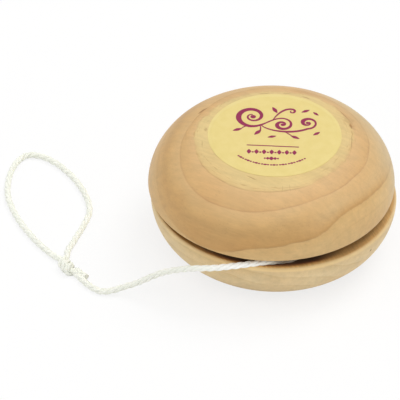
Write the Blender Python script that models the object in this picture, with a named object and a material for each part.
"""Wooden yo-yo with its string: two turned halves on a glued dowel axle, a paper label,
and one string with a slip loop round the axle and a knotted finger loop.

Metres, +Z up. The origin is the centre of the lower half's flat outer face, +Z runs along
the axle, and the string leaves the groove at the front (-Y) and lies on the table to the
left (-X). The string is divided at the places where it bends, and each piece is parented to
the one before it, so that it can be laid out, wound and opened.
"""
import math

import bmesh
import bpy
from mathutils import Vector

MM = 0.001

# ---- turned halves: heights are measured from the middle of the string gap ---------------
BODY_RADIUS = 28.5 * MM
BODY_THICKNESS = 29.2 * MM
FLAT_RADIUS = 16.2 * MM          # flat outer face of each half
DOME_POWER = 1.94                # power of the dome's superellipse
RIM_HALF_GAP = 1.45 * MM         # half of the string gap, at the rim
AXLE_HALF_GAP = 1.10 * MM        # half of the string gap, at the axle
RIM_ROUND = 0.35 * MM            # broken edge where the dome meets the gap
MID = BODY_THICKNESS / 2         # height of the middle of the gap
CENTRE = Vector((0, 0, MID))

# ---- axle dowel and its bore -------------------------------------------------------------
AXLE_RADIUS = 4.0 * MM
BORE_CLEARANCE = 0.2 * MM        # glue line round the dowel
BORE_DEPTH = 10.0 * MM
BORE_CHAMFER = 0.3 * MM
END_POCKET = 0.5 * MM            # glue pocket past each end of the dowel
DOWEL_CHAMFER = 0.5 * MM

# ---- label -------------------------------------------------------------------------------
LABEL_RADIUS = 15.4 * MM
LABEL_THICKNESS = 0.15 * MM
LABEL_LIFT = 0.1 * MM            # adhesive

# ---- string in the groove ----------------------------------------------------------------
STRING_RADIUS = 0.75 * MM
PIVOT_GAP = 0.4 * MM             # tip to tip, between two pieces of the string
PULL_BACK = STRING_RADIUS + PIVOT_GAP / 2  # from a pivot to the centre of a rounded end

AXLE_LOOP_RADIUS = 4.95 * MM     # centre line of the slip loop
AXLE_LOOP_TUBE = 0.70 * MM
WINDING_INNER = 5.9 * MM
WINDING_OUTER = 19.0 * MM
WINDING_BULGE = 0.8 * MM         # depth of the rounded outer edge
WINDING_BEVEL = 0.4 * MM         # width of the taper at the inner edge
WALL_CLEARANCE = 0.28 * MM       # winding to groove wall

OUTER_TURN_START_RADIUS = 20.3 * MM
OUTER_TURN_SWEEP = math.radians(300.0)
EXIT_RADIUS = 25.77 * MM         # where the string leaves the outer turn
EXIT_ANGLE = math.radians(-81.2)

# ---- string on the table -----------------------------------------------------------------
REST = STRING_RADIUS             # height of string lying on the table

# far end of each piece, going away from the axle: name, x, y, height in mm, then heading
# (from +X towards +Y) and slope in degrees
RUNS = (
    ("string_lead", -12.3, -28.1, MID / MM - 1.35, 176.0, -15.0),
    ("string_segment_1", -23.5, -25.1, MID / MM - 6.05, 164.0, -30.0),
    ("string_segment_2", -32.2, -23.7, MID / MM - 11.9, 174.0, -26.0),
    ("string_segment_3", -39.2, -23.4, REST / MM, 149.0, 0.0),
    ("string_segment_4", -44.0, -18.4, REST / MM, 128.0, 0.0),
)

KNOT_RADIUS = 1.45 * MM
KNOT_FULLNESS = 0.7              # power of the knot's swell; lower is blunter
KNOT_SHORTENING = 0.9 * MM       # room left between the knot and the finger loop
KNOT_SIDES = 10
TAIL_OFFSET = 1.75 * MM          # centre line to centre line, tail to knot
TAIL_SETBACK = 0.3 * MM          # start of the tail, behind the start of the knot
TAIL_LENGTH = 2.4 * MM
TAIL_RADIUS = STRING_RADIUS * 0.95

KNOT_TOP = Vector((-47.5, -13.8, REST / MM)) * MM
LOOP_LEFT = Vector((-61.6, 8.0, REST / MM)) * MM
LOOP_CROWN = Vector((-57.8, 25.95, REST / MM)) * MM
# the four pivots of the finger loop are a parallelogram, so that it opens and closes true
LOOP_RIGHT = KNOT_TOP + LOOP_CROWN - LOOP_LEFT
# each arm: side, its middle pivot, headings in degrees at the knot, that pivot and the crown
LOOP_ARMS = (
    ("left", LOOP_LEFT, 136, 103, 14),
    ("right", LOOP_RIGHT, 76, 91, 194),
)
LOOP_KNOT_GAP = 2.75 * MM        # from the knot's top pivot to the first end centre of an arm
TIP_LENGTH = 2.9 * MM            # from the crown to the far end centre of a tip

# ---- mesh resolution ---------------------------------------------------------------------
TURN_STEPS = 48                  # facets round a turned piece
DOME_STEPS = 14
RIM_STEPS = 3
AXLE_LOOP_STEPS = 28
AXLE_LOOP_SIDES = 8
COIL_STEPS = 40
BULGE_STEPS = 6
SPIRAL_STEPS = 96
CURVE_STEPS = 64
KNOT_STEPS = 8
TAIL_STEPS = 2
CORD_SIDES = 8
CORD_STEP = 1.9 * MM             # ring spacing along the string
OUTER_TURN_STEP = 3.2 * MM
TIP_STEP = 1.2 * MM
CAP_ANGLES = (30.0, 60.0)        # rings of a rounded end, degrees from its rim to its pole

# ---- finishes ----------------------------------------------------------------------------
WOOD_UPPER = dict(colour=(0.80, 0.62, 0.38), roughness=0.58)
WOOD_LOWER = dict(colour=(0.76, 0.62, 0.40), roughness=0.6)
WOOD_DOWEL = dict(colour=(0.78, 0.64, 0.44), roughness=0.65)
PAPER = dict(colour=(0.86, 0.72, 0.32), roughness=0.7)
CORD = dict(colour=(0.93, 0.94, 0.90), roughness=0.85)

SOFT_SHARP_ANGLE = math.radians(40)   # edges steeper than this are shaded sharp
CRISP_SHARP_ANGLE = math.radians(30)  # the same, for the dowel and the label


# ---- objects and materials ---------------------------------------------------------------
def clear_scene():
    for obj in list(bpy.data.objects):
        bpy.data.objects.remove(obj, do_unlink=True)


def make_material(name, colour, roughness):
    material = bpy.data.materials.new(name + "_material")
    material.use_nodes = True
    shader = material.node_tree.nodes["Principled BSDF"]
    shader.inputs["Base Color"].default_value = (*colour, 1.0)
    shader.inputs["Roughness"].default_value = roughness
    shader.inputs["Metallic"].default_value = 0.0
    return material


def place(name, bm, origin, finish, parent=None, sharp_angle=SOFT_SHARP_ANGLE):
    """Turn a bmesh drawn in world space into a named object with its own origin."""
    bmesh.ops.remove_doubles(bm, verts=bm.verts, dist=1e-6)
    bmesh.ops.recalc_face_normals(bm, faces=bm.faces)
    bmesh.ops.translate(bm, vec=-Vector(origin), verts=bm.verts)
    mesh = bpy.data.meshes.new(name)
    bm.to_mesh(mesh)
    bm.free()
    mesh.shade_smooth()
    mesh.set_sharp_from_angle(angle=sharp_angle)
    mesh.materials.append(make_material(name, **finish))

    obj = bpy.data.objects.new(name, mesh)
    bpy.context.scene.collection.objects.link(obj)
    obj.parent = parent
    # no piece is rotated, so the local place is the world one less every ancestor's
    location = Vector(origin)
    ancestor = parent
    while ancestor is not None:
        location = location - ancestor.location
        ancestor = ancestor.parent
    obj.location = location
    return obj


# ---- turned shapes -----------------------------------------------------------------------
def turned(profile, steps=TURN_STEPS, closed=False):
    """Spin a profile of (radius, height) points about the axle."""
    bm = bmesh.new()
    verts = [bm.verts.new((radius, 0.0, z)) for radius, z in profile]
    edges = [bm.edges.new(pair) for pair in zip(verts, verts[1:])]
    if closed:
        edges.append(bm.edges.new((verts[-1], verts[0])))
    bmesh.ops.spin(bm, geom=verts + edges, cent=(0, 0, 0), axis=(0, 0, 1),
                   angle=2 * math.pi, steps=steps, use_merge=True)
    return bm


def half_profile(side):
    """Section of one half, side +1 above the gap and -1 below it."""
    bore_radius = AXLE_RADIUS + BORE_CLEARANCE
    bore_end = AXLE_HALF_GAP + BORE_DEPTH
    rim_radius = BODY_RADIUS - RIM_ROUND
    dome_foot = RIM_HALF_GAP + RIM_ROUND
    points = [
        (0.0, bore_end),
        (bore_radius, bore_end),
        (bore_radius, AXLE_HALF_GAP + BORE_CHAMFER),
        (bore_radius + BORE_CHAMFER, AXLE_HALF_GAP),
        (rim_radius, RIM_HALF_GAP),
    ]
    for k in range(1, RIM_STEPS):
        angle = math.pi / 2 * k / RIM_STEPS
        points.append((rim_radius + RIM_ROUND * math.sin(angle),
                       dome_foot - RIM_ROUND * math.cos(angle)))
    for k in range(DOME_STEPS + 1):
        angle = math.pi / 2 * k / DOME_STEPS
        out = math.cos(angle) ** (2 / DOME_POWER)
        rise = math.sin(angle) ** (2 / DOME_POWER)
        points.append((FLAT_RADIUS + (BODY_RADIUS - FLAT_RADIUS) * out,
                       dome_foot + (MID - dome_foot) * rise))
    points.append((0.0, MID))
    return [(radius, MID + side * z) for radius, z in points]


def dowel_profile():
    half_length = AXLE_HALF_GAP + BORE_DEPTH - END_POCKET
    low, high = MID - half_length, MID + half_length
    return [
        (0.0, low),
        (AXLE_RADIUS - DOWEL_CHAMFER, low),
        (AXLE_RADIUS, low + DOWEL_CHAMFER),
        (AXLE_RADIUS, high - DOWEL_CHAMFER),
        (AXLE_RADIUS - DOWEL_CHAMFER, high),
        (0.0, high),
    ]


def label_profile():
    low = BODY_THICKNESS + LABEL_LIFT
    high = low + LABEL_THICKNESS
    return [(0.0, low), (LABEL_RADIUS, low), (LABEL_RADIUS, high), (0.0, high)]


def axle_loop_profile():
    angles = [-2 * math.pi * k / AXLE_LOOP_SIDES for k in range(AXLE_LOOP_SIDES)]
    return [(AXLE_LOOP_RADIUS + AXLE_LOOP_TUBE * math.cos(angle),
             MID + AXLE_LOOP_TUBE * math.sin(angle)) for angle in angles]


def winding_half(radius):
    """Half thickness of the wound string at a radius, following the tapered gap."""
    along = (radius - AXLE_RADIUS) / (BODY_RADIUS - AXLE_RADIUS)
    return AXLE_HALF_GAP + (RIM_HALF_GAP - AXLE_HALF_GAP) * along - WALL_CLEARANCE


def coil_profile():
    inner_half = winding_half(WINDING_INNER)
    bevel_end = WINDING_INNER + WINDING_BEVEL
    bulge_start = WINDING_OUTER - WINDING_BULGE
    points = [(WINDING_INNER, MID + 0.5 * inner_half), (bevel_end, MID + inner_half)]
    for k in range(BULGE_STEPS + 1):
        angle = math.pi / 2 - math.pi * k / BULGE_STEPS
        points.append((bulge_start + WINDING_BULGE * math.cos(angle),
                       MID + winding_half(bulge_start) * math.sin(angle)))
    points += [(bevel_end, MID - inner_half), (WINDING_INNER, MID - 0.5 * inner_half)]
    return points


# ---- cord shapes -------------------------------------------------------------------------
def heading(azimuth, slope=0.0):
    """Unit vector from an azimuth and a slope in degrees."""
    turn, tilt = math.radians(azimuth), math.radians(slope)
    return Vector((math.cos(turn) * math.cos(tilt), math.sin(turn) * math.cos(tilt),
                   math.sin(tilt)))


def curve_between(start, end, start_heading, end_heading):
    """Cubic Hermite curve whose end tangents are as long as its chord."""
    chord = (end - start).length
    points = []
    for k in range(CURVE_STEPS + 1):
        u = k / CURVE_STEPS
        points.append(start * (2 * u ** 3 - 3 * u ** 2 + 1)
                      + start_heading * chord * (u ** 3 - 2 * u ** 2 + u)
                      + end * (-2 * u ** 3 + 3 * u ** 2)
                      + end_heading * chord * (u ** 3 - u ** 2))
    return points


def running_lengths(path):
    lengths = [0.0]
    for here, after in zip(path, path[1:]):
        lengths.append(lengths[-1] + (after - here).length)
    return lengths


def trimmed(path, start_cut, end_cut, step=CORD_STEP):
    """A path less a length at each end, as evenly spaced points."""
    lengths = running_lengths(path)
    low, high = start_cut, lengths[-1] - end_cut
    count = max(1, round((high - low) / step))
    points = []
    for k in range(count + 1):
        want = low + (high - low) * k / count
        i = max(j for j in range(len(path) - 1) if lengths[j] <= want)
        fraction = (want - lengths[i]) / (lengths[i + 1] - lengths[i])
        points.append(path[i].lerp(path[i + 1], fraction))
    return points


def cap_ring(centre, tangent, radius, degrees, direction):
    """Centre, tangent and radius of one ring on a rounded end."""
    angle = math.radians(degrees)
    return (centre + tangent * (direction * radius * math.sin(angle)), tangent,
            radius * math.cos(angle))


def cord(path, radii, sides=CORD_SIDES):
    """A closed round-ended cord along a path, with one radius per point."""
    last = len(path) - 1
    tangents = [(path[min(i + 1, last)] - path[max(i - 1, 0)]).normalized()
                for i in range(len(path))]
    head = (path[0], tangents[0], radii[0])
    foot = (path[-1], tangents[-1], radii[-1])
    rings = [cap_ring(*head, degrees, -1) for degrees in reversed(CAP_ANGLES)]
    rings += zip(path, tangents, radii)
    rings += [cap_ring(*foot, degrees, 1) for degrees in CAP_ANGLES]

    bm = bmesh.new()
    across = Vector((0, 0, 1)).cross(tangents[0]).normalized()
    rows = []
    for centre, tangent, radius in rings:
        # carry the frame along the path without twist
        across = (across - tangent * across.dot(tangent)).normalized()
        up = tangent.cross(across).normalized()
        angles = [2 * math.pi * (k + 0.5) / sides for k in range(sides)]
        rows.append([bm.verts.new(centre + radius * (across * math.cos(a) + up * math.sin(a)))
                     for a in angles])
    head_pole = bm.verts.new(path[0] - tangents[0] * radii[0])
    foot_pole = bm.verts.new(path[-1] + tangents[-1] * radii[-1])

    for k in range(sides):
        n = (k + 1) % sides
        for row, following in zip(rows, rows[1:]):
            bm.faces.new((row[k], row[n], following[n], following[k]))
        bm.faces.new((head_pole, rows[0][n], rows[0][k]))
        bm.faces.new((foot_pole, rows[-1][k], rows[-1][n]))
    return bm


def place_string(name, path, origin, parent, radius=STRING_RADIUS):
    return place(name, cord(path, [radius] * len(path)), origin, CORD, parent)


# ---- pieces ------------------------------------------------------------------------------
def build_body():
    """Halves, dowel and label; returns the lower half, the root of every other piece."""
    lower = place("lower_half", turned(half_profile(-1)), (0, 0, 0), WOOD_LOWER)
    upper = place("upper_half", turned(half_profile(+1)), CENTRE, WOOD_UPPER, lower)
    place("axle_dowel", turned(dowel_profile()), CENTRE, WOOD_DOWEL, lower,
          CRISP_SHARP_ANGLE)
    place("label_disc", turned(label_profile()), (0, 0, BODY_THICKNESS), PAPER, upper,
          CRISP_SHARP_ANGLE)
    return lower


def build_winding(lower):
    """Slip loop round the dowel, and the wound string outside it."""
    axle_loop = place("string_axle_loop",
                      turned(axle_loop_profile(), AXLE_LOOP_STEPS, closed=True),
                      CENTRE, CORD, lower)
    return place("string_coil", turned(coil_profile(), COIL_STEPS, closed=True),
                 CENTRE, CORD, axle_loop)


def build_outer_turn(coil):
    """Last, loose turn: a spiral that opens to the exit; returns it and the exit point."""
    spiral = []
    for k in range(SPIRAL_STEPS + 1):
        u = k / SPIRAL_STEPS
        ease = u * u * (3 - 2 * u)
        angle = EXIT_ANGLE + OUTER_TURN_SWEEP * (1 - u)
        radius = OUTER_TURN_START_RADIUS + (EXIT_RADIUS - OUTER_TURN_START_RADIUS) * ease
        spiral.append(Vector((radius * math.cos(angle), radius * math.sin(angle), MID)))
    path = trimmed(spiral, PULL_BACK, PULL_BACK, OUTER_TURN_STEP)
    return place_string("string_outer_turn", path, CENTRE, coil), spiral[-1]


def build_runs(outer_turn, exit_point):
    """String from the exit to the knot; returns the last piece and its far end."""
    parent, start = outer_turn, exit_point
    start_heading = heading(math.degrees(EXIT_ANGLE) - 90.0)
    for name, x, y, z, azimuth, slope in RUNS:
        end, end_heading = Vector((x, y, z)) * MM, heading(azimuth, slope)
        path = curve_between(start, end, start_heading, end_heading)
        parent = place_string(name, trimmed(path, PULL_BACK, PULL_BACK), start, parent)
        start, start_heading = end, end_heading
    return parent, start


def build_knot(parent, start):
    """A spindle lying on the table, with the cut tail beside it."""
    span = KNOT_TOP - start
    along = span.normalized()
    length = span.length - 2 * PULL_BACK - KNOT_SHORTENING
    path, radii = [], []
    for k in range(KNOT_STEPS + 1):
        u = k / KNOT_STEPS
        swell = math.sin(math.pi * u) ** KNOT_FULLNESS
        radius = STRING_RADIUS + (KNOT_RADIUS - STRING_RADIUS) * swell
        point = start + along * (PULL_BACK + length * u)
        path.append(Vector((point.x, point.y, radius)))
        radii.append(radius)
    knot = place("string_knot", cord(path, radii, KNOT_SIDES), start, CORD, parent)

    across = Vector((along.y, -along.x, 0))
    tail_start = start + across * TAIL_OFFSET - along * TAIL_SETBACK
    tail_path = [tail_start - along * TAIL_LENGTH * k / TAIL_STEPS
                 for k in range(TAIL_STEPS + 1)]
    place_string("string_tail", tail_path, tail_start, knot, TAIL_RADIUS)
    return knot


def build_finger_loop(knot):
    """Two arms of three pieces, meeting at the crown."""
    for side, middle, knot_azimuth, middle_azimuth, crown_azimuth in LOOP_ARMS:
        low_path = curve_between(KNOT_TOP, middle, heading(knot_azimuth),
                                 heading(middle_azimuth))
        high_path = curve_between(middle, LOOP_CROWN, heading(middle_azimuth),
                                  heading(crown_azimuth))
        tip_start = running_lengths(high_path)[-1] - TIP_LENGTH
        lower = place_string(f"loop_{side}_lower",
                             trimmed(low_path, LOOP_KNOT_GAP, PULL_BACK), KNOT_TOP, knot)
        upper = place_string(f"loop_{side}_upper",
                             trimmed(high_path, PULL_BACK, TIP_LENGTH + 2 * PULL_BACK),
                             middle, lower)
        place_string(f"loop_{side}_tip", trimmed(high_path, tip_start, PULL_BACK, TIP_STEP),
                     LOOP_CROWN, upper)


clear_scene()
lower_half = build_body()
string_coil = build_winding(lower_half)
string_turn, string_exit = build_outer_turn(string_coil)
last_run, knot_start = build_runs(string_turn, string_exit)
string_knot = build_knot(last_run, knot_start)
build_finger_loop(string_knot)
